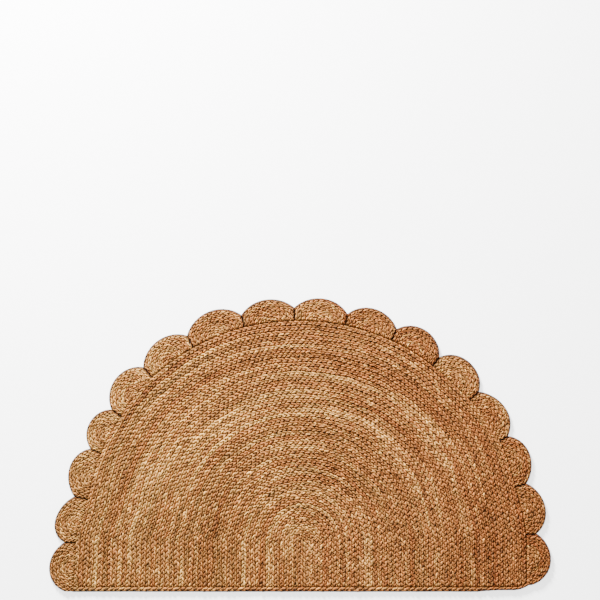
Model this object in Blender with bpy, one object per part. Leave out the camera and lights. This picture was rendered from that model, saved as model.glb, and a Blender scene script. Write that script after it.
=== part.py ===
"""Half-moon rug of braided jute.

A half-round body made of one flat braid laid in hairpin rows and cut straight across, sixteen
scallops of seven braid rows each sewn round its edge, and a narrow braid along the cut edge.
Metres, +Z up. The origin is the centre of the half-round, on the floor under the rug. +Y points
away from the cut edge.
"""

import math
from collections import namedtuple

import bmesh
import bpy

# Body
ARC_RADIUS = 0.450
ARC_LENGTH = math.pi * ARC_RADIUS
BODY_ROWS = 48
CUT_Y = -0.0805
HAIRPIN = (0.005, 0.012)

# Braid
CREST_HEIGHT = 0.0100
VALLEY_HEIGHT = 0.0082
RIM_HEIGHT = 0.0062
STATIONS_PER_ROW = 2

# Scallops
SCALLOP_ROWS = 7
SCALLOPS_START = -0.092
FIRST_NOTCH = 0.014
QUARTER_STEPS = 5

# Edging
EDGING_WIDTH = 0.0107
EDGING_HEIGHT = 0.0094
EDGING_LEFT = -0.4550
EDGING_RIGHT = 0.4440
EDGING_STEPS = 6

SEWN_GAP = 0.0003
SAME_POINT = 0.00001
SHARP_ANGLE = math.radians(50.0)

JUTE_BODY = (0.45, 0.21, 0.085)
JUTE_SCALLOP = (0.43, 0.19, 0.075)
JUTE_EDGING = (0.52, 0.26, 0.115)
JUTE_ROUGHNESS = 0.9

# The body's real edge is a little uneven. Along is measured on the nominal arc, from its left
# end clockwise, and is negative down the left leg and over pi radii down the right one.
EdgePlace = namedtuple("EdgePlace", "along radius")
EDGE = (
    EdgePlace(-0.092, 0.456),
    EdgePlace(0.000, 0.452),
    EdgePlace(0.094, 0.437),
    EdgePlace(0.230, 0.442),
    EdgePlace(0.380, 0.450),
    EdgePlace(0.560, 0.452),
    EdgePlace(0.780, 0.450),
    EdgePlace(0.900, 0.449),
    EdgePlace(1.040, 0.445),
    EdgePlace(1.180, 0.451),
    EdgePlace(1.300, 0.445),
    EdgePlace(1.414, 0.451),
    EdgePlace(1.500, 0.451),
)

# Width is along the body's edge, crown and notch_after are heights over it: of the scallop's
# top, and of the point where its outline meets the next one's.
Scallop = namedtuple("Scallop", "width crown notch_after")
SCALLOPS = (
    Scallop(0.098, 0.051, 0.023),
    Scallop(0.090, 0.051, 0.028),
    Scallop(0.098, 0.051, 0.024),
    Scallop(0.086, 0.048, 0.024),
    Scallop(0.101, 0.052, 0.028),
    Scallop(0.102, 0.0505, 0.028),
    Scallop(0.110, 0.052, 0.026),
    Scallop(0.101, 0.0465, 0.027),
    Scallop(0.102, 0.047, 0.024),
    Scallop(0.098, 0.0475, 0.026),
    Scallop(0.098, 0.0505, 0.023),
    Scallop(0.101, 0.054, 0.025),
    Scallop(0.102, 0.044, 0.019),
    Scallop(0.098, 0.046, 0.024),
    Scallop(0.098, 0.049, 0.023),
    Scallop(0.096, 0.050, 0.022),
)


def remove_scene_objects():
    for obj in list(bpy.data.objects):
        bpy.data.objects.remove(obj, do_unlink=True)


def mixed(start, end, share):
    return start + share * (end - start)


def jute(name, colour):
    """Dry, dull plant fibre."""
    material = bpy.data.materials.new(name)
    material.use_nodes = True
    shader = material.node_tree.nodes["Principled BSDF"]
    shader.inputs["Base Color"].default_value = (*colour, 1.0)
    shader.inputs["Roughness"].default_value = JUTE_ROUGHNESS
    shader.inputs["Metallic"].default_value = 0.0
    return material


def edge_radius(along):
    """The table's radius at a place along the edge, eased from one row to the next."""
    for before, after in zip(EDGE, EDGE[1:]):
        if along <= after.along:
            break
    share = (along - before.along) / (after.along - before.along)
    eased = share * share * (3.0 - 2.0 * share)
    return mixed(before.radius, after.radius, eased)


def outward(along):
    """The direction out of the edge: radial on the half-round, sideways on the straight legs."""
    angle = min(max(along / ARC_RADIUS, 0.0), math.pi)
    return (-math.cos(angle), math.sin(angle))


def edge_corner(along):
    """A point of the edge, below the half-round's ends on its straight legs."""
    x, y = outward(along)
    below = min(along, 0.0) + min(ARC_LENGTH - along, 0.0)
    reach = edge_radius(along)
    return (reach * x, reach * y + below)


def seam_stations():
    """Places along the edge where it turns: both ends and the middle of every scallop's seam."""
    stations = [SCALLOPS_START]
    for scallop in SCALLOPS:
        stations.append(stations[-1] + scallop.width / 2.0)
        stations.append(stations[-1] + scallop.width / 2.0)
    return stations + [EDGE[-1].along]


def edge_point(along, out):
    """The point at a distance outside the edge, which runs straight between its stations."""
    stations = seam_stations()
    for before, after in zip(stations, stations[1:]):
        if along <= after:
            break
    share = (along - before) / (after - before)
    start, end = edge_corner(before), edge_corner(after)
    x, y = outward(along)
    return (mixed(start[0], end[0], share) + out * x, mixed(start[1], end[1], share) + out * y)


def row_stations(rows):
    """Shares of the way across the rows and the height at each: every row is one raised rib."""
    stations = []
    for index in range(rows * STATIONS_PER_ROW + 1):
        on_valley = index % STATIONS_PER_ROW == 0
        height = VALLEY_HEIGHT if on_valley else CREST_HEIGHT
        stations.append((index / (rows * STATIONS_PER_ROW), height))
    stations[-1] = (1.0, RIM_HEIGHT)
    return stations


def body_grid():
    """Lines from the core to the edge, one for each station along the rows.

    The core is where the innermost row doubles back: a line from the cut edge to the hairpin.
    """
    core_foot = (HAIRPIN[0], CUT_Y)
    inside = [along for along in seam_stations() if CUT_Y < along < ARC_LENGTH - CUT_Y]
    grid = []
    for along in [CUT_Y] + inside + [ARC_LENGTH - CUT_Y]:
        core = HAIRPIN if along in inside else core_foot
        edge = edge_point(along, 0.0)
        line = []
        for share, height in row_stations(BODY_ROWS):
            line.append((mixed(core[0], edge[0], share), mixed(core[1], edge[1], share), height))
        grid.append(line)
    return grid


def crown_quarter(half_width, notch, crown):
    """Half of a scallop's crown as a circular arc, from its notch to level at the top."""
    rise = crown - notch
    radius = (half_width * half_width + rise * rise) / (2.0 * rise)
    sweep = math.atan2(half_width, radius - rise)
    places = []
    for step in range(QUARTER_STEPS + 1):
        angle = sweep * (1.0 - step / QUARTER_STEPS)
        places.append((-radius * math.sin(angle), crown - radius * (1.0 - math.cos(angle))))
    return places


def scallop_grid(start, scallop, notch_before):
    """Lines from the middle of the scallop's seam to its outline, bent round the body's edge."""
    half_width = scallop.width / 2.0 - SEWN_GAP / 2.0
    middle = start + scallop.width / 2.0
    rising = crown_quarter(half_width, notch_before, scallop.crown)
    falling = crown_quarter(half_width, scallop.notch_after, scallop.crown)
    outline = [(-half_width, 0.0)] + rising
    outline += [(-across, height) for across, height in reversed(falling[:-1])]
    outline.append((half_width, 0.0))
    grid = []
    for across, height_over_edge in outline:
        line = []
        for share, height in row_stations(SCALLOP_ROWS):
            out = SEWN_GAP + share * height_over_edge
            line.append((*edge_point(middle + share * across, out), height))
        grid.append(line)
    return grid


def solid_under(name, grid, material):
    """A closed solid with the grid for its top, upright sides and a flat underside at z = 0."""
    mesh = bmesh.new()
    top = [[mesh.verts.new(point) for point in line] for line in grid]
    for line, next_line in zip(top, top[1:]):
        for index in range(len(line) - 1):
            mesh.faces.new((line[index], line[index + 1], next_line[index + 1], next_line[index]))
    outer_side = [line[-1] for line in reversed(top[1:-1])]
    rim = top[0][::-1] + top[-1][1:] + outer_side
    foot = [mesh.verts.new((vert.co.x, vert.co.y, 0.0)) for vert in rim]
    for index in range(len(rim)):
        mesh.faces.new((rim[index - 1], rim[index], foot[index], foot[index - 1]))
    underside = mesh.faces.new(foot)
    bmesh.ops.triangulate(mesh, faces=[underside], ngon_method="BEAUTY")
    bmesh.ops.remove_doubles(mesh, verts=mesh.verts, dist=SAME_POINT)
    bmesh.ops.recalc_face_normals(mesh, faces=mesh.faces)
    return placed(name, mesh, material)


def placed(name, mesh, material):
    data = bpy.data.meshes.new(name)
    mesh.to_mesh(data)
    mesh.free()
    data.materials.append(material)
    data.shade_smooth()
    data.set_sharp_from_angle(angle=SHARP_ANGLE)
    obj = bpy.data.objects.new(name, data)
    bpy.context.scene.collection.objects.link(obj)
    return obj


def edging_profile():
    """The narrow braid's section, as y and z: flat below, upright sides and a rounded back."""
    back = CUT_Y - SEWN_GAP
    middle = back - EDGING_WIDTH / 2.0
    shoulder = EDGING_HEIGHT - EDGING_WIDTH / 2.0
    profile = [(back, 0.0), (back, shoulder)]
    for step in range(1, EDGING_STEPS):
        angle = math.pi * step / EDGING_STEPS
        y = middle + EDGING_WIDTH / 2.0 * math.cos(angle)
        profile.append((y, shoulder + EDGING_WIDTH / 2.0 * math.sin(angle)))
    profile.append((back - EDGING_WIDTH, shoulder))
    profile.append((back - EDGING_WIDTH, 0.0))
    return profile


def edging_solid(material):
    mesh = bmesh.new()
    start = mesh.faces.new([mesh.verts.new((EDGING_LEFT, y, z)) for y, z in edging_profile()])
    extruded = bmesh.ops.extrude_face_region(mesh, geom=[start])
    moved = [item for item in extruded["geom"] if isinstance(item, bmesh.types.BMVert)]
    bmesh.ops.translate(mesh, verts=moved, vec=(EDGING_RIGHT - EDGING_LEFT, 0.0, 0.0))
    bmesh.ops.recalc_face_normals(mesh, faces=mesh.faces)
    return placed("straight_edging", mesh, material)


def scallop_solids(material):
    start = SCALLOPS_START
    notch_before = FIRST_NOTCH
    for number, scallop in enumerate(SCALLOPS, start=1):
        grid = scallop_grid(start, scallop, notch_before)
        solid_under(f"scallop_{number:02d}", grid, material)
        start += scallop.width
        notch_before = scallop.notch_after


remove_scene_objects()
solid_under("braided_body", body_grid(), jute("jute_body", JUTE_BODY))
scallop_solids(jute("jute_scallop", JUTE_SCALLOP))
edging_solid(jute("jute_edging", JUTE_EDGING))
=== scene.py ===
"""Half-moon rug of braided jute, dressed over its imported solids.

Metres, +Z up. The origin is the centre of the half-round, on the floor under the rug, and +Y
points away from the straight edge. Along is measured round the body's edge, clockwise from the
left end of the half-round. Every row of braid is one closed surface, worked out on a grid: rings
round a flat braid, carried along the row.
"""

import math

import bpy
import numpy as np
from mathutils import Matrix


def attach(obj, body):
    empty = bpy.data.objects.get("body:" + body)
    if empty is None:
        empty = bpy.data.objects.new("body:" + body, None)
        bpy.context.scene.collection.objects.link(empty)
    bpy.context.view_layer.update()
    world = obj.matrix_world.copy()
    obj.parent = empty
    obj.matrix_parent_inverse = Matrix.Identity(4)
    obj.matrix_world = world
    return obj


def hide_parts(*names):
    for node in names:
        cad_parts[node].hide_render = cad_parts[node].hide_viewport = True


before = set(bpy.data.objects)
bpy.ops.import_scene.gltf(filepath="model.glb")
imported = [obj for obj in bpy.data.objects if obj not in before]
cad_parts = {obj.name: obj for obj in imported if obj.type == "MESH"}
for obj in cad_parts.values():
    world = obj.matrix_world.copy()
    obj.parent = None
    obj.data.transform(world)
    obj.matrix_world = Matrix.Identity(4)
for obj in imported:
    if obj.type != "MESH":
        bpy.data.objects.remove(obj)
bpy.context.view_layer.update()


# Body
#
# A half-round of flat three-strand braid of undyed jute, laid in hairpin rows round a short
# straight core. The rows are sewn edge to edge, cut straight across, and the cut turns up a
# little at its right end.

ARC_RADIUS = 0.450
ARC_LENGTH = math.pi * ARC_RADIUS
BODY_ROWS = 48
CUT_Y = -0.0805

# Where the innermost row doubles back, as x and y.
HAIRPIN = (0.005, 0.012)

# The body's edge is a little uneven: its radius at places along it.
EDGE = np.array(
    [
        (-0.092, 0.456),
        (0.000, 0.452),
        (0.094, 0.437),
        (0.230, 0.442),
        (0.380, 0.450),
        (0.560, 0.452),
        (0.780, 0.450),
        (0.900, 0.449),
        (1.040, 0.445),
        (1.180, 0.451),
        (1.300, 0.445),
        (1.414, 0.451),
        (1.500, 0.451),
    ],
    dtype=[("along", float), ("radius", float)],
)

# The cut turns up at its right end: from which x, over what width, and how far.
TURN_UP_START = 0.425
TURN_UP_WIDTH = 0.033
TURN_UP = 0.0110


def mixed(start, end, share):
    """Start plus a share of the way to end."""
    return start + share * (end - start)


def distances(points):
    """How far it is to each point of a line: the sum of the steps before it."""
    return np.concatenate([[0.0], np.cumsum(np.hypot(*np.diff(points)))])


def cut_line(x):
    """y of the cut: level, then up at the right end as the square of the distance into it."""
    share = np.clip((x - TURN_UP_START) / TURN_UP_WIDTH, 0.0, 1.0)
    return CUT_Y + TURN_UP * share**2


def edge_place(along, out):
    """x and y at a distance outside the body's edge.

    The radius eases from one row of the table to the next. It is swung round the half-round as
    an angle of along over the nominal radius, and points sideways on the legs below it.
    """
    after = np.clip(np.searchsorted(EDGE["along"], along), 1, len(EDGE) - 1)
    start, end = EDGE[after - 1], EDGE[after]
    share = (along - start["along"]) / (end["along"] - start["along"])
    reach = mixed(start["radius"], end["radius"], share * share * (3.0 - 2.0 * share)) + out
    angle = np.clip(along / ARC_RADIUS, 0.0, math.pi)
    below = np.minimum(along, 0.0) + np.minimum(ARC_LENGTH - along, 0.0)
    return -reach * np.cos(angle), reach * np.sin(angle) + below


def body_place(share, along):
    """x and y on a straight line from the core to the edge, or down the legs to the cut."""
    edge_x, edge_y = edge_place(along, 0.0)
    down = (np.maximum(-along, 0.0) + np.maximum(along - ARC_LENGTH, 0.0)) / -CUT_Y
    x = mixed(HAIRPIN[0], edge_x, share)
    round_y = mixed(HAIRPIN[1], np.where(down > 0.0, 0.0, edge_y), share)
    return x, mixed(round_y, cut_line(x), down)


# A stitch is where a strand comes over the others, to one side and the other in turn, so that
# the braid has two columns of them. It shows as a rounded lobe of two yarns.
BRAID_HEIGHT = 0.0102
BRAID_HALF_WIDTH = 0.0047
STRANDS = 3
COLUMNS = 2
STITCH = 0.0100
YARNS = 2
RINGS_PER_STITCH = 6
PATH_POINTS = 800

# Lobes fall off as this power of the distance from their middle. At the braid's edges the
# creases between them draw back by a share of its half width, and down its middle the line
# between the columns zigzags by another share.
LOBE_POWER = 2.0
EDGE_RETREAT = 0.22
CENTRE_ZIGZAG = 0.15

# What hands leave uneven: how long a row's stitches are, where along the row a ring lies, in
# stitches, how full a stitch is, how high the row lies, and how far the line between two rows
# strays, in rows and in waves of three lengths. Wobble and lift change over so many rings.
STITCH_VARIATION = 0.05
WOBBLE = 0.15
WOBBLE_RINGS = 7
SWELL = 0.12
SWELL_LIMIT = 2.0
LIFT = 0.0004
LIFT_RINGS = 40
ROW_SWAY = 0.22
SWAY_WAVES = (0.07, 0.13, 0.31)

# One ring round the braid, from the middle of its top over the outer edge and back. Across is
# a share of the half width, lean is how many stitches the ring has fallen behind there, and
# bite is how deep a crease between two stitches cuts there. Rows press into each other a little.
RING = np.array(
    [
        (0.00, 0.0083, 0.00, 0.0040),
        (0.32, 0.0100, 0.16, 0.0044),
        (0.66, 0.0100, 0.33, 0.0046),
        (1.04, 0.0076, 0.50, 0.0036),
        (1.02, 0.0024, 0.70, 0.0000),
        (0.00, 0.0000, 1.10, 0.0000),
        (-1.02, 0.0024, 0.70, 0.0000),
        (-1.04, 0.0076, 0.50, 0.0036),
        (-0.66, 0.0100, 0.33, 0.0046),
        (-0.32, 0.0100, 0.16, 0.0044),
    ],
    dtype=[("across", float), ("height", float), ("lean", float), ("bite", float)],
)
LEFT = RING["across"] < 0.0
CENTRE = RING["across"] == 0.0
BRAID_EDGE = np.abs(RING["across"]) == RING["across"].max()
LEFT_FACES = np.arange(len(RING)) >= np.flatnonzero(CENTRE)[1]
FULL_LEAN = RING["lean"].max()

# Metres round the ring to each of its points, and on to the first again.
GIRTH = distances(
    np.stack(
        [
            BRAID_HALF_WIDTH * np.append(RING["across"], RING["across"][0]),
            np.append(RING["height"], RING["height"][0]),
        ]
    )
)


def wandering(random, count, spacing):
    """Smooth random numbers: normal ones at every spacing-th place, joined by straight lines."""
    knots = random.normal(size=int(count / spacing) + 2)
    return np.interp(np.arange(count) / spacing, np.arange(len(knots)), knots)


def wandering_lines(random, lines, count, spacing):
    """As many lines of such numbers, drawn one after the other."""
    return np.stack([wandering(random, count, spacing) for _ in range(lines)])


def swaying(middle, reach, random):
    """A line that strays from its middle by up to reach: the mean of three waves along it."""
    turns = random.uniform(size=len(SWAY_WAVES))

    def line(along):
        """The middle plus the reach times the mean of the waves' sines."""
        angles = 2.0 * np.pi * (along[..., None] / np.array(SWAY_WAVES) + turns)
        return middle + reach * np.sin(angles).mean(axis=-1)

    return line


def lines_between(rows, reach, seed):
    """The lines beside rows of even width, as shares of the way out.

    Each sways round its own number over the number of rows, but the first and last are straight.
    """
    lines = []
    for number in range(rows + 1):
        own_reach = 0.0 if number in (0, rows) else reach
        lines.append(swaying(number / rows, own_reach, np.random.default_rng(seed + number)))
    return lines


def pressed(edge, extra):
    """The same edge line a little further out, so that a tight turn leaves no hole beside it."""

    def line(along):
        """The edge line's share of the way out, plus the extra."""
        return edge(along) + extra

    return line


# Around one place along the edge the sewing is looser, and the grooves between rows open there,
# each by this depth times a random share between two limits. None goes below the groove bottom.
LOOSE_ALONG = 0.90
LOOSE_SPREAD = 0.25
LOOSE_DEPTH = 0.0030
LOOSE_SHARES = (0.2, 1.8)
GROOVE_BOTTOM = 0.0026


def loose_sewing(depth):
    """How deep a groove opens: a bell curve of the distance from where the sewing is loosest."""

    def opening(along):
        """The depth times e to the minus square of the distance over the spread."""
        return depth * np.exp(-(((along - LOOSE_ALONG) / LOOSE_SPREAD) ** 2))

    return opening


# The jute's tone strays along a row, along a strand and along a column of stitches, each over so
# many stitches, and from one stitch to the next.
ROW_TONE = 0.34
ROW_TONE_STITCHES = 13
STRAND_TONE = 0.16
STRAND_TONE_STITCHES = 9
COLUMN_TONE = 0.20
COLUMN_TONE_STITCHES = 14
STITCH_TONE = 0.33

# So does its hue, along a row and along a strand.
ROW_HUE = 0.5
ROW_HUE_STITCHES = 17
STRAND_HUE = 0.5
STRAND_HUE_STITCHES = 14
STITCH_HUE = 0.35

# The tone is highest half way up the rug: what to add to it, by y. To the right the tone falls,
# partly as painted shade and partly as browner jute, and the hue turns more russet: by how much
# the tone falls and the hue rises per metre.
TONE_UP = np.array(
    [(0.00, -0.18), (0.08, 0.00), (0.14, 0.12), (0.26, 0.14), (0.38, -0.05), (0.46, -0.15)],
    dtype=[("y", float), ("tone", float)],
)
BROWN_AND_SHADE_RIGHT = 0.50
RUSSET_RIGHT = 1.7


def jute_tones(random, count, side, lobe, x, y):
    """Each point's tone and hue: the sum of its row's, its strand's, its column's and its own.

    The count is of stitches to draw numbers for, side is the column of stitches, and lobe is
    which stitch of it. Tone also follows the place on the rug, falling to the right partly as
    painted shade, and hue rises to the right.
    """
    strand = (lobe + side) % STRANDS
    by_strand = wandering_lines(random, STRANDS, count, STRAND_TONE_STITCHES)[strand, lobe]
    by_column = wandering_lines(random, COLUMNS, count, COLUMN_TONE_STITCHES)[side, lobe]
    own = random.normal(size=(COLUMNS, count))[side, lobe]
    by_row = wandering(random, count, ROW_TONE_STITCHES)[lobe]
    tone = ROW_TONE * by_row + STRAND_TONE * by_strand + COLUMN_TONE * by_column
    tone = tone + STITCH_TONE * own + np.interp(y, TONE_UP["y"], TONE_UP["tone"])
    tone = tone - BROWN_AND_SHADE_RIGHT * x

    strand_hue = wandering_lines(random, STRANDS, count, STRAND_HUE_STITCHES)[strand, lobe]
    row_hue = wandering(random, count, ROW_HUE_STITCHES)[lobe]
    own_hue = random.normal(size=(COLUMNS, count))[side, lobe]
    hue = ROW_HUE * row_hue + STRAND_HUE * strand_hue + STITCH_HUE * own_hue
    return tone, hue + RUSSET_RIGHT * x


# Tone goes from bark at its lower limit over honey to straw at its upper one. A hue below zero
# draws the colour towards olive and one above zero towards russet, by this share times the hue.
STRAW = "#CB9B54"
HONEY = "#865529"
BARK = "#552E10"
RUSSET = "#773A16"
OLIVE = "#6E592E"
TONE_LIMIT = 1.8
HUE_LIMIT = 2.0
RUSSET_SHARE = 0.24
OLIVE_SHARE = 0.20

# Painted shade deep between the stitches, where less light reaches. Depth goes from none at the
# braid's top to one at the deep height, and the colour loses a share as a power of the depth,
# down to the least shade.
DEEP = 0.0042
PAINTED_DEEP_SHADE = 0.30
DEEP_POWER = 1.5
LEAST_SHADE = 0.1


def linear(colour):
    """The linear values of an sRGB hex colour: a straight foot, then the power 2.4."""
    values = np.array([int(colour[start : start + 2], 16) for start in (1, 3, 5)]) / 255.0
    return np.where(values <= 0.04045, values / 12.92, ((values + 0.055) / 1.055) ** 2.4)


def jute_colours(tone, hue, depth):
    """Straw, honey or bark by tone, drawn towards russet or olive by hue, with painted shade deep
    down.
    """
    tone = np.clip(tone, -TONE_LIMIT, TONE_LIMIT)[..., None]
    hue = np.clip(hue, -HUE_LIMIT, HUE_LIMIT)[..., None]
    colour = mixed(linear(HONEY), linear(STRAW), np.maximum(tone, 0.0) / TONE_LIMIT)
    colour = mixed(colour, linear(BARK), np.maximum(-tone, 0.0) / TONE_LIMIT)
    colour = mixed(colour, linear(RUSSET), np.maximum(hue, 0.0) * RUSSET_SHARE)
    colour = mixed(colour, linear(OLIVE), np.maximum(-hue, 0.0) * OLIVE_SHARE)
    shade = np.maximum(1.0 - PAINTED_DEEP_SHADE * depth**DEEP_POWER, LEAST_SHADE)
    return colour * shade[..., None]


# A row's ends slope down over this length. Where a row's outer edge drops, what is lower than
# the drop height drops less, as its share of that height.
END_SLOPE = 0.005
DROP_HEIGHT = 0.0050

# A free outer rim is painted darker still, as shade at the rug's outline, in its creases most of
# all: what it takes from the tone and adds to the depth, between which places across the row it
# sets in, and how much of it the lobes get, where the creases get one more.
PAINTED_RIM_TONE = 3.0
PAINTED_RIM_DEPTH = 1.0
RIM_ACROSS = (0.05, 0.65)
RIM_ON_LOBES = 0.75


def braid_row(
    place,
    edges,
    ends,
    stitch,
    random,
    tone=0.0,
    tuck=0.0,
    outer_drop=0.0,
    painted_rim_shade=False,
    opening=None,
):
    """One row of flat braid: its points, their colours, and where each ring starts.

    Ring i starts at the distance i along the row and falls behind round the braid, as a strand
    does. Past the row's ends it is cut off flat. The two columns of stitches are half a stitch
    apart. A stitch is a rounded lobe: its height and its reach at the edge fall off as a power
    of the distance from its middle. Tuck is the share of the height lost at the row's ends, as
    the square of how near they are, and outer drop the height lost at its outer edge, as the
    square of the way across. Opening gives the depth of the groove that looser sewing leaves
    along the row's edges.
    """
    fine = np.linspace(*ends, PATH_POINTS)
    inner_edge, outer_edge = edges
    distance = distances(np.stack(place((inner_edge(fine) + outer_edge(fine)) / 2.0, fine)))
    length = distance[-1]
    stitch = stitch * (1.0 + STITCH_VARIATION * random.uniform(-1.0, 1.0))
    stitches = int(math.ceil(length / stitch + FULL_LEAN)) + 1
    ring = np.arange(stitches * RINGS_PER_STITCH + 1)
    start = ring / RINGS_PER_STITCH * stitch
    wobble = WOBBLE * stitch * wandering(random, len(ring), WOBBLE_RINGS)
    run = np.clip(start[:, None] + wobble[:, None] - RING["lean"] * stitch, 0.0, length)
    run[0] = 0.0
    run[-1] = length
    along = np.interp(run, distance, fine)

    side = LEFT.astype(int)
    phase = ring[:, None] / RINGS_PER_STITCH + 0.5 * side
    lobe = np.floor(phase).astype(int)
    crease = np.abs(2.0 * (phase - lobe) - 1.0) ** LOBE_POWER
    crease_opposite = np.abs(2.0 * ((phase + 0.5) % 1.0) - 1.0) ** LOBE_POWER
    crease = np.where(CENTRE, np.maximum(crease, crease_opposite), crease)
    count = stitches + 2
    swell = np.clip(random.normal(size=(COLUMNS, count)), -SWELL_LIMIT, SWELL_LIMIT)[side, lobe]
    body = (1.0 - crease) * (1.0 + SWELL * swell)

    across = RING["across"] * np.where(BRAID_EDGE, 1.0 - EDGE_RETREAT * (1.0 - body), 1.0)
    across = across + np.where(CENTRE, CENTRE_ZIGZAG * np.cos(2.0 * np.pi * phase), 0.0)
    inner, outer = inner_edge(along), outer_edge(along)
    x, y = place((inner + outer) / 2.0 + (outer - inner) / 2.0 * across, along)

    lift = LIFT * wandering(random, len(ring), LIFT_RINGS)[:, None]
    z = RING["height"] - RING["bite"] * (1.0 - body) + lift * RING["height"] / BRAID_HEIGHT
    drop = outer_drop * np.clip(RING["across"], 0.0, 1.0) ** 2
    z = z - drop * np.clip(z / DROP_HEIGHT, 0.0, 1.0)
    if opening is not None:
        z = z - opening(along) * BRAID_EDGE
    z = np.maximum(z, np.minimum(RING["height"], GROOVE_BOTTOM))
    to_end = np.clip(np.minimum(run, length - run) / END_SLOPE, 0.0, 1.0)
    z = z * (1.0 - tuck * (1.0 - to_end) ** 2)

    stitch_tone, hue = jute_tones(random, count, side, lobe, x, y)
    tone = tone + stitch_tone
    # Painted shade: the colour darkens with depth below the braid's top.
    depth = 1.0 - np.clip((z - DEEP) / (BRAID_HEIGHT - DEEP), 0.0, 1.0)
    # Painted shade along a free outer rim, most in its creases.
    if painted_rim_shade:
        rim = np.interp(RING["across"], RIM_ACROSS, (0.0, 1.0)) * (RIM_ON_LOBES + crease)
        tone = tone - PAINTED_RIM_TONE * rim
        depth = depth + PAINTED_RIM_DEPTH * rim
    return np.stack([x, y, z], axis=-1), jute_colours(tone, hue, depth), start


# Rows are this many yarns apart in the yarn UV, so that no two have the same mottling.
YARNS_TO_NEXT_ROW = 1000.0


def braid_mesh(name, rows, material):
    """One mesh of closed braid rows: quads between rings and a flat face over each end.

    The strand UV is metres round the braid and along it. The yarn UV counts yarns along the
    row, two to a stitch, from half a stitch further on in the left column.
    """
    around = len(RING)
    points, colours, strands, yarns, quads, caps = [], [], [], [], [], []
    first = 0
    for number, (row_points, row_colours, start) in enumerate(rows):
        rings = len(row_points)
        index = first + np.arange(rings * around).reshape(rings, around)
        turned = np.roll(index, -1, axis=1)
        corners = [index[:-1], index[1:], turned[1:], turned[:-1]]
        quads.append(np.stack(corners, axis=-1).reshape(-1, 4))
        caps += [index[0].tolist(), index[-1, ::-1].tolist()]
        round_it = GIRTH[:-1], GIRTH[:-1], GIRTH[1:], GIRTH[1:]
        along_it = start[:-1], start[1:], start[1:], start[:-1]
        yarn = np.arange(rings) * YARNS / RINGS_PER_STITCH + YARNS_TO_NEXT_ROW * number
        yarns_on = yarn[:-1], yarn[1:], yarn[1:], yarn[:-1]
        shape = (rings - 1, around)
        half_on = LEFT_FACES * YARNS / 2.0
        for collected, places, offset in ((strands, along_it, 0.0), (yarns, yarns_on, half_on)):
            u = np.stack([np.broadcast_to(place, shape) for place in round_it], axis=-1)
            v = [np.broadcast_to(place[:, None] + offset, shape) for place in places]
            collected.append(np.stack([u, np.stack(v, axis=-1)], axis=-1).reshape(-1, 2))
        points.append(row_points.reshape(-1, 3))
        colours.append(row_colours.reshape(-1, 3))
        first += rings * around
    mesh = bpy.data.meshes.new(name)
    mesh.from_pydata(np.concatenate(points), [], np.concatenate(quads).tolist() + caps)
    cap_uv = np.zeros((len(caps) * around, 2))
    for uv_name, uv in (("strand", strands), ("yarn", yarns)):
        layer = mesh.uv_layers.new(name=uv_name)
        layer.uv.foreach_set("vector", np.concatenate(uv + [cap_uv]).ravel())
    colour = np.concatenate(colours)
    colour = np.column_stack([colour, np.ones(len(colour))])
    attribute = mesh.color_attributes.new("jute", "FLOAT_COLOR", "POINT")
    attribute.data.foreach_set("color", colour.ravel())
    mesh.materials.append(material)
    mesh.shade_smooth()
    piece = bpy.data.objects.new(name, mesh)
    bpy.context.scene.collection.objects.link(piece)
    return piece


def add_node(material, kind, settings, *values, **inputs):
    """Adds a node and gives its first output.

    Settings are its own properties. Values go to its inputs in their order, the others to the
    inputs that they name. Each is a plain value, or an output to link.
    """
    made = material.node_tree.nodes.new(kind)
    for name, value in settings.items():
        setattr(made, name, value)
    for socket, value in [*enumerate(values), *inputs.items()]:
        if isinstance(value, bpy.types.NodeSocket):
            material.node_tree.links.new(value, made.inputs[socket])
        else:
            made.inputs[socket].default_value = value
    return made.outputs[0]


# Yarns are mottled about every 4 mm of their length, and lie this step apart in the noise, so
# that they differ. Streaks are 9 mm long and 0.9 mm wide, coarser than real fibres so that they
# show, and their third number has no use on a flat UV.
MOTTLES_PER_METRE = 230.0
MOTTLE_STEP = 7.31
STREAKS_PER_METRE = (110.0, 1100.0, 1.0)

# What the colour is multiplied by: as a pattern goes from the first number to the second, the
# shade goes from the third to the fourth. The patterns are the square of the way from a yarn's
# middle to its side, which paints a lighter middle and painted shade at the sides, the jute's
# own mottling, and its fibres.
YARN_PAINTED_SHADE = (0.0, 0.9, 1.12, 0.75)
MOTTLE_SHADE = (0.25, 0.75, 0.45, 1.75)
FIBRE_SHADE = (0.30, 0.70, 0.62, 1.38)

# The bump's depth, and how much of it the fibres and the hollows beside a yarn give.
BUMP_DEPTH = 0.0018
FIBRE_RELIEF = 0.6
YARN_RELIEF = -0.5
JUTE_ROUGHNESS = 0.55
JUTE_SPECULAR = 0.13


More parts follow.
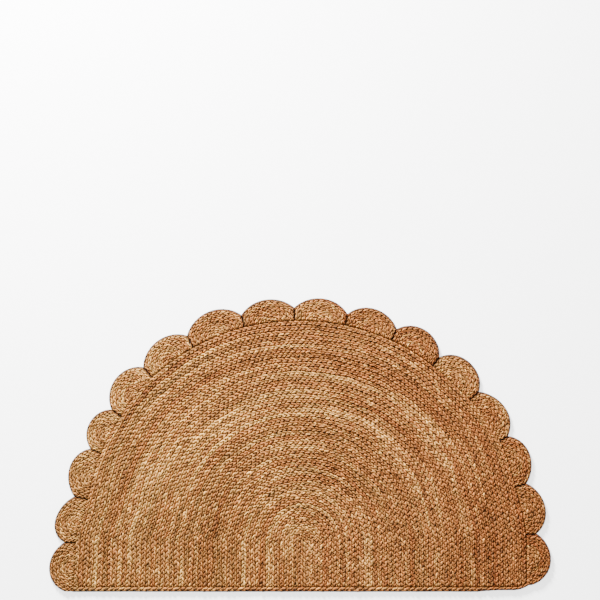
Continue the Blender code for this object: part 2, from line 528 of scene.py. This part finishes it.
def undyed_jute(name):
    """Undyed jute, spun loosely and braided: dry and matt.

    The colour of each stitch comes with the mesh. Each stitch has two yarns side by side, round
    in section, painted lighter along their middles and with painted shade at their sides, each
    paler and browner by turns along its length. Fibres run along the strand: noise drawn out
    along the strand's own UV, which is in metres.
    """
    material = bpy.data.materials.new(name)
    material.use_nodes = True
    shader = material.node_tree.nodes["Principled BSDF"]
    multiply = {"operation": "MULTIPLY"}
    multiply_add = {"operation": "MULTIPLY_ADD"}
    colour = add_node(material, "ShaderNodeAttribute", {"attribute_name": "jute"})

    yarn_uv = add_node(material, "ShaderNodeUVMap", {"uv_map": "yarn"})
    yarn_place = add_node(material, "ShaderNodeSeparateXYZ", {}, yarn_uv).node.outputs
    over_yarn = add_node(material, "ShaderNodeMath", {"operation": "FRACT"}, yarn_place["Y"])
    from_middle = add_node(material, "ShaderNodeMath", multiply_add, over_yarn, 2.0, -1.0)
    hollow = add_node(material, "ShaderNodeMath", multiply, from_middle, from_middle)
    yarn_painted_shade = add_node(material, "ShaderNodeMapRange", {}, hollow, *YARN_PAINTED_SHADE)

    girth = add_node(material, "ShaderNodeMath", multiply, yarn_place["X"], MOTTLES_PER_METRE)
    yarn = add_node(material, "ShaderNodeMath", {"operation": "FLOOR"}, yarn_place["Y"])
    apart = add_node(material, "ShaderNodeMath", multiply, yarn, MOTTLE_STEP)
    mottle_place = add_node(material, "ShaderNodeCombineXYZ", {}, girth, apart)
    mottle = add_node(
        material, "ShaderNodeTexNoise", {}, Vector=mottle_place, Scale=1.0, Detail=0.0
    )
    mottle_shade = add_node(material, "ShaderNodeMapRange", {}, mottle, *MOTTLE_SHADE)

    strand_uv = add_node(material, "ShaderNodeUVMap", {"uv_map": "strand"})
    fibre_place = add_node(
        material, "ShaderNodeMapping", {}, Vector=strand_uv, Scale=STREAKS_PER_METRE
    )
    fibre = add_node(material, "ShaderNodeTexNoise", {}, Vector=fibre_place, Scale=1.0, Detail=2.0)
    fibre_shade = add_node(material, "ShaderNodeMapRange", {}, fibre, *FIBRE_SHADE)

    shade = add_node(material, "ShaderNodeMath", multiply, mottle_shade, yarn_painted_shade)
    shade = add_node(material, "ShaderNodeMath", multiply, shade, fibre_shade)
    shaded = add_node(material, "ShaderNodeVectorMath", multiply, colour, shade)
    hollows = add_node(material, "ShaderNodeMath", multiply, hollow, YARN_RELIEF)
    height = add_node(material, "ShaderNodeMath", multiply_add, fibre, FIBRE_RELIEF, hollows)
    bump = add_node(
        material, "ShaderNodeBump", {}, Strength=1.0, Distance=BUMP_DEPTH, Height=height
    )
    material.node_tree.links.new(shaded, shader.inputs["Base Color"])
    material.node_tree.links.new(bump, shader.inputs["Normal"])
    shader.inputs["Roughness"].default_value = JUTE_ROUGHNESS
    shader.inputs["Specular IOR Level"].default_value = JUTE_SPECULAR
    return material


# Some rows are paler or browner than the rest, and each has a little tone of its own. Rows are
# counted from the core, and where bands overlap their tones are added.
BANDS = np.array(
    [
        (5, 7, -0.25),
        (9, 9, -0.10),
        (10, 16, 0.20),
        (17, 19, -0.05),
        (20, 21, -0.35),
        (22, 23, 0.10),
        (24, 24, -0.25),
        (28, 30, 0.30),
        (32, 35, -0.15),
        (37, 37, 0.45),
        (39, 39, 0.30),
        (40, 48, -0.10),
        (42, 42, -0.25),
        (44, 44, 0.20),
        (47, 48, -0.25),
    ],
    dtype=[("first", int), ("last", int), ("tone", float)],
)
ROW_OWN_TONE = 0.13

# In the tight turns of a core, a row's outer edge presses into the next row: by this share of a
# row for the innermost one, over the row's number for the others.
CORE_PRESS = 0.16

# The cut ends of the rows go down by a share of their height, and run on a little past the cut
# to the edging. The last row's outer edge lies lower by the drop.
CUT_TUCK = 0.42
CUT_OVERRUN = 0.0025
BODY_DROP = 0.0018

# Where the randomness starts: each row's from its number on, and each line's between two rows.
BODY_SEED = 100
BODY_LINE_SEED = 500

jute = undyed_jute("undyed_jute_braid")
body_lines = lines_between(BODY_ROWS, ROW_SWAY / BODY_ROWS, BODY_LINE_SEED)


def body_rows(first, last):
    """Rows of the body, from one to another, each between its two lines and cut at both ends."""
    ends = (CUT_Y - CUT_OVERRUN, ARC_LENGTH - CUT_Y + CUT_OVERRUN)
    rows = []
    for row in range(first, last + 1):
        random = np.random.default_rng(BODY_SEED + row)
        in_band = (BANDS["first"] <= row) & (row <= BANDS["last"])
        tone = BANDS["tone"][in_band].sum() + ROW_OWN_TONE * random.normal()
        opening = loose_sewing(LOOSE_DEPTH * random.uniform(*LOOSE_SHARES))
        braid = braid_row(
            body_place,
            (body_lines[row - 1], pressed(body_lines[row], CORE_PRESS / BODY_ROWS / row)),
            ends,
            STITCH,
            random,
            tone=tone,
            tuck=CUT_TUCK,
            outer_drop=BODY_DROP if row == BODY_ROWS else 0.0,
            opening=opening,
        )
        rows.append(braid)
    return rows


for band_name, first_row, last_row in (
    ("body_core_rows", 1, 24),
    ("body_inner_rows", 25, 34),
    ("body_outer_rows", 35, 42),
    ("body_edge_rows", 43, 48),
):
    band = braid_mesh(band_name, body_rows(first_row, last_row), jute)
    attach(band, "root")
    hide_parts("braided_body")


# Scallops
#
# Sixteen half-round coils of the same braid, seven rows each, sewn under the body's edge with
# their ends tucked in, flat against their neighbours.

SCALLOP_ROWS = 7
SCALLOPS_START = -0.092
FIRST_NOTCH = 0.018
SEAM_TUCK = 0.0010
COIL_SWAY = 0.02
CROWN_STEPS = 24

# The free outer edge of an outermost row lies lower by this.
OUTER_DROP = 0.0045

# Where the randomness starts: a step further on for each scallop, plus the number of the row. The
# lines between its rows start a little further on again.
SCALLOP_SEED = 1000
SCALLOP_SEED_STEP = 10
COIL_LINE_SEED = 5

# Width is along the body's edge. Crown and notch after are heights over it, of the scallop's top
# and of the point where it meets the next one. Tuck is how far its rows' ends go down under the
# body's edge, as a share of their height.
SCALLOPS = np.array(
    [
        (0.098, 0.0510, 0.023, 0.35),
        (0.090, 0.0510, 0.028, 0.35),
        (0.098, 0.0510, 0.024, 0.35),
        (0.086, 0.0480, 0.024, 0.35),
        (0.101, 0.0520, 0.028, 0.35),
        (0.102, 0.0505, 0.028, 0.75),
        (0.110, 0.0520, 0.026, 0.75),
        (0.101, 0.0465, 0.027, 0.75),
        (0.102, 0.0470, 0.024, 0.75),
        (0.098, 0.0475, 0.026, 0.75),
        (0.098, 0.0505, 0.023, 0.75),
        (0.101, 0.0540, 0.025, 0.50),
        (0.102, 0.0440, 0.019, 0.40),
        (0.098, 0.0460, 0.024, 0.90),
        (0.098, 0.0490, 0.023, 0.90),
        (0.102, 0.0500, 0.012, 0.90),
    ],
    dtype=[("width", float), ("crown", float), ("notch_after", float), ("tuck", float)],
)


def crown_arc(half_width, notch, crown):
    """Across and height along half a crown: a circular arc from its notch to level at the top."""
    rise = crown - notch
    radius = (half_width * half_width + rise * rise) / (2.0 * rise)
    sweep = math.atan2(half_width, radius - rise)
    angle = sweep * (1.0 - np.arange(CROWN_STEPS + 1) / CROWN_STEPS)
    return -radius * np.sin(angle), crown - radius * (1.0 - np.cos(angle))


def scallop_rows(start, notch_before, scallop, seed):
    """Seven rows, each as far out from the seam's middle as its share of the outline's reach."""
    half_width = scallop["width"] / 2.0
    middle = start + half_width
    rising = crown_arc(half_width, notch_before, scallop["crown"])
    falling = crown_arc(half_width, scallop["notch_after"], scallop["crown"])
    across = np.concatenate([[-half_width], rising[0], -falling[0][-2::-1], [half_width]])
    height = np.concatenate([[0.0], rising[1], falling[1][-2::-1], [0.0]])
    walked = distances(np.stack([across, height]))

    def scallop_place(share, walk):
        """A share of the way from the seam's middle to the place walked to on the outline."""
        sideways = share * np.interp(walk, walked, across)
        out = share * np.interp(walk, walked, height)
        return edge_place(middle + sideways, out - SEAM_TUCK * (1.0 - out / scallop["crown"]))

    lines = lines_between(SCALLOP_ROWS, COIL_SWAY, seed + COIL_LINE_SEED)
    rows = []
    for row in range(SCALLOP_ROWS):
        outermost = row + 1 == SCALLOP_ROWS
        press = 0.0 if outermost else CORE_PRESS / SCALLOP_ROWS / (row + 1)
        braid = braid_row(
            scallop_place,
            (lines[row], pressed(lines[row + 1], press)),
            (0.0, walked[-1]),
            STITCH,
            np.random.default_rng(seed + row),
            tuck=scallop["tuck"],
            outer_drop=OUTER_DROP if outermost else 0.0,
            painted_rim_shade=outermost,
        )
        rows.append(braid)
    return rows


seam_start = SCALLOPS_START
notch = FIRST_NOTCH
for number, scallop in enumerate(SCALLOPS, start=1):
    node = f"scallop_{number:02d}"
    seed = SCALLOP_SEED + SCALLOP_SEED_STEP * number
    coil = braid_mesh(f"{node}_coil", scallop_rows(seam_start, notch, scallop, seed), jute)
    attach(coil, "root")
    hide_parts(node)
    seam_start += scallop["width"]
    notch = scallop["notch_after"]


# Straight edging
#
# A narrower braid of the same jute with long stitches, sewn along the cut ends of the rows to
# hold them. It turns up with the cut at the right end.

# From the first x to the second, it narrows to the width of its right end. Along runs from right
# to left here, and the ends are given by it.
EDGING_WIDTH = 0.0097
EDGING_RIGHT_WIDTH = 0.0066
EDGING_NARROWS = (0.350, 0.390)
EDGING_ENDS = (-0.4580, 0.4580)
EDGING_STITCH = 0.0118
EDGING_TONE = 0.15
EDGING_SWAY = 0.02
EDGING_SEED = 2000


def edging_place(share, along):
    """x from the right end leftwards, and y from the cut to the edging's outer side."""
    x = -along
    width = np.interp(x, EDGING_NARROWS, (EDGING_WIDTH, EDGING_RIGHT_WIDTH))
    return x, cut_line(x) - CUT_OVERRUN - width * share


edging_edges = (
    swaying(0.0, 0.0, np.random.default_rng(EDGING_SEED + 1)),
    swaying(1.0, EDGING_SWAY, np.random.default_rng(EDGING_SEED + 2)),
)
edging_row = braid_row(
    edging_place,
    edging_edges,
    EDGING_ENDS,
    EDGING_STITCH,
    np.random.default_rng(EDGING_SEED),
    tone=EDGING_TONE,
    outer_drop=OUTER_DROP,
    painted_rim_shade=True,
)
edging = braid_mesh("edging_braid", [edging_row], jute)
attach(edging, "root")
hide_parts("straight_edging")


# Floor, light and camera
#
# A plain floor of matt white paint with a glow of its own, so that it comes out nearly pure
# white, soft daylight from the top, a little to the left, and a camera straight above.

FLOOR_SIZE = 20.0
FLOOR_ROUGHNESS = 0.9
FLOOR_GLOW = 1.9
SKY_STRENGTH = 1.2
FLOOR_WHITE = "#F3F3F3"
GLOW_WHITE = "#FFFFFF"

bpy.ops.mesh.primitive_plane_add(size=FLOOR_SIZE, location=(0.0, 0.0, 0.0))
floor = bpy.context.object
floor.name = "floor"
floor_paint = bpy.data.materials.new("white_floor")
floor_paint.use_nodes = True
floor_shader = floor_paint.node_tree.nodes["Principled BSDF"]
floor_shader.inputs["Base Color"].default_value = (*linear(FLOOR_WHITE), 1.0)
floor_shader.inputs["Roughness"].default_value = FLOOR_ROUGHNESS
floor_shader.inputs["Emission Color"].default_value = (*linear(GLOW_WHITE), 1.0)
floor_shader.inputs["Emission Strength"].default_value = FLOOR_GLOW
floor.data.materials.append(floor_paint)

world = bpy.data.worlds.new("studio")
world.use_nodes = True
sky = world.node_tree.nodes["Background"]
sky.inputs["Color"].default_value = (*linear(GLOW_WHITE), 1.0)
sky.inputs["Strength"].default_value = SKY_STRENGTH
bpy.context.scene.world = world

WINDOW_PLACE = np.array([-0.93, 2.22, 1.20])
WINDOW_TARGET = np.array([0.0, 0.2, 0.0])
WINDOW_SIZE = 0.55
WINDOW_POWER = 490.0

# A square lamp turned to face its target: tipped up from straight down by the angle whose tangent
# is the level distance over the drop, and swung round to where the target is.
lamp = bpy.data.lights.new("window_light", "AREA")
lamp.size = WINDOW_SIZE
lamp.energy = WINDOW_POWER
window = bpy.data.objects.new("window_light", lamp)
bpy.context.scene.collection.objects.link(window)
heading = WINDOW_TARGET - WINDOW_PLACE
tip = math.atan2(math.hypot(heading[0], heading[1]), -heading[2])
window.location = WINDOW_PLACE
window.rotation_euler = (tip, 0.0, math.atan2(-heading[0], heading[1]))

# The camera's height is over the braid's top, and the view's width is the one there.
CAMERA_X = -0.002
CAMERA_Y = 0.492
CAMERA_HEIGHT = 4.0
VIEW_WIDTH = 1.2
SENSOR_WIDTH = 36.0

camera_data = bpy.data.cameras.new("camera")
camera_data.sensor_width = SENSOR_WIDTH
camera_data.lens = SENSOR_WIDTH * CAMERA_HEIGHT / VIEW_WIDTH
camera = bpy.data.objects.new("camera", camera_data)
camera.location = (CAMERA_X, CAMERA_Y, CAMERA_HEIGHT + BRAID_HEIGHT)
bpy.context.scene.collection.objects.link(camera)
bpy.context.scene.camera = camera
